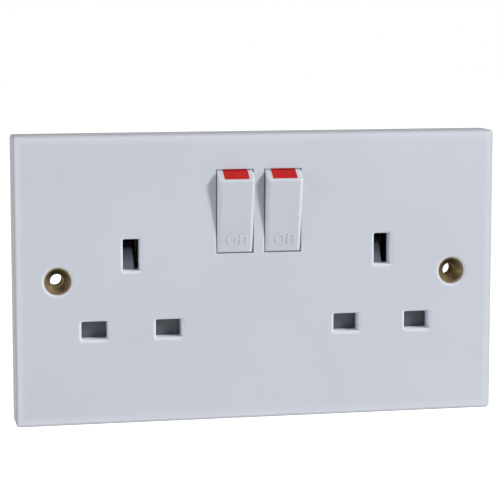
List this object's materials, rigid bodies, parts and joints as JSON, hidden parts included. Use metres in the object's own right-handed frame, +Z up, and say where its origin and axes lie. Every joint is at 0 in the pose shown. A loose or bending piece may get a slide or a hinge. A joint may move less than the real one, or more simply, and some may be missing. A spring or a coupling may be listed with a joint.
{
  "type": "power socket",
  "caption": "Flush wall plate with a pair of shuttered power outlets, each with its own rocker switch, and a rear housing that holds the contacts and terminals.",
  "frame": {"origin": "centre of the plate in the wall plane, midway between the two fixing screws", "axes": "+X to the right seen from the front, +Y into the wall, +Z up"},
  "size_m": [0.146, 0.0289, 0.086],
  "materials": {
    "plate_white": "satin moulded",
    "rocker_white": "satin moulded",
    "flag_red": "satin printed",
    "housing_black": "moulded, fine spark texture",
    "shutter_grey": "moulded",
    "plunger_nylon": "moulded",
    "eyelet_brass": "turned",
    "brass_strip": "pressed strip",
    "terminal_brass": "machined",
    "copper_strip": "pressed strip",
    "silver_tip": "riveted tip",
    "spring_steel": "drawn wire",
    "strap_steel": "plated strip",
    "screw_steel": "zinc plated"
  },
  "bodies": {
    "housing": {"front_plate": "plate_white", "rear_housing": "housing_black", "fixing_eyelet_left": "eyelet_brass", "fixing_eyelet_right": "eyelet_brass", "fixed_tip_left": "silver_tip", "fixed_tip_right": "silver_tip", "live_contact_left": "brass_strip", "live_contact_right": "brass_strip", "neutral_contact_left": "brass_strip", "neutral_contact_right": "brass_strip", "earth_contact_left": "brass_strip", "earth_contact_right": "brass_strip", "earth_strap_left": "strap_steel", "earth_strap_right": "strap_steel", "shutter_spring_left": "spring_steel", "shutter_spring_right": "spring_steel", "live_bar": "brass_strip", "neutral_bar": "brass_strip", "earth_bar": "brass_strip", "live_terminal": "terminal_brass", "neutral_terminal": "terminal_brass", "earth_terminal": "terminal_brass", "terminal_screws": "screw_steel", "housing_screws": "screw_steel"},
    "switch_left": {"rocker_left": "rocker_white", "on_flag_left": "flag_red", "plunger_spring_left": "spring_steel"},
    "plunger_body_left": {"plunger_left": "plunger_nylon"},
    "rocking_contact_left": {"moving_contact_left": "copper_strip", "moving_tip_left": "silver_tip"},
    "shutter_body_left": {"shutter_left": "shutter_grey"},
    "switch_right": {"rocker_right": "rocker_white", "on_flag_right": "flag_red", "plunger_spring_right": "spring_steel"},
    "plunger_body_right": {"plunger_right": "plunger_nylon"},
    "rocking_contact_right": {"moving_contact_right": "copper_strip", "moving_tip_right": "silver_tip"},
    "shutter_body_right": {"shutter_right": "shutter_grey"}
  },
  "joints": [
    {"name": "rocker_left_swing", "type": "hinge", "parent": "housing", "child": "switch_left", "pos_m": [-0.0073, -0.00392, 0.0197], "axis": [-1, 0, 0], "range_deg": [0, 21]},
    {"name": "plunger_left_press", "type": "slide", "parent": "switch_left", "child": "plunger_body_left", "axis": [0, -0.9833, -0.1822], "range_m": [0, 0.001], "stiffness_N_per_m": 400, "deforming": ["plunger_spring_left"]},
    {"name": "rocking_contact_left_tilt", "type": "hinge", "parent": "housing", "child": "rocking_contact_left", "pos_m": [-0.0073, 0.00671, 0.0197], "axis": [1, 0, 0], "range_deg": [0, 12]},
    {"name": "shutter_left_slide", "type": "slide", "parent": "housing", "child": "shutter_body_left", "axis": [0, 0, -1], "range_m": [0, 0.0064], "stiffness_N_per_m": 200, "deforming": ["shutter_spring_left"]},
    {"name": "rocker_right_swing", "type": "hinge", "parent": "housing", "child": "switch_right", "pos_m": [0.0073, -0.00392, 0.0197], "axis": [-1, 0, 0], "range_deg": [0, 21]},
    {"name": "plunger_right_press", "type": "slide", "parent": "switch_right", "child": "plunger_body_right", "axis": [0, -0.9833, -0.1822], "range_m": [0, 0.001], "stiffness_N_per_m": 400, "deforming": ["plunger_spring_right"]},
    {"name": "rocking_contact_right_tilt", "type": "hinge", "parent": "housing", "child": "rocking_contact_right", "pos_m": [0.0073, 0.00671, 0.0197], "axis": [1, 0, 0], "range_deg": [0, 12]},
    {"name": "shutter_right_slide", "type": "slide", "parent": "housing", "child": "shutter_body_right", "axis": [0, 0, -1], "range_m": [0, 0.0064], "stiffness_N_per_m": 200, "deforming": ["shutter_spring_right"]}
  ],
  "couplings": [
    {"joint": "rocking_contact_left_tilt", "follows": "rocker_left_swing", "ratio": 0.57143},
    {"joint": "rocking_contact_right_tilt", "follows": "rocker_right_swing", "ratio": 0.57143}
  ]
}
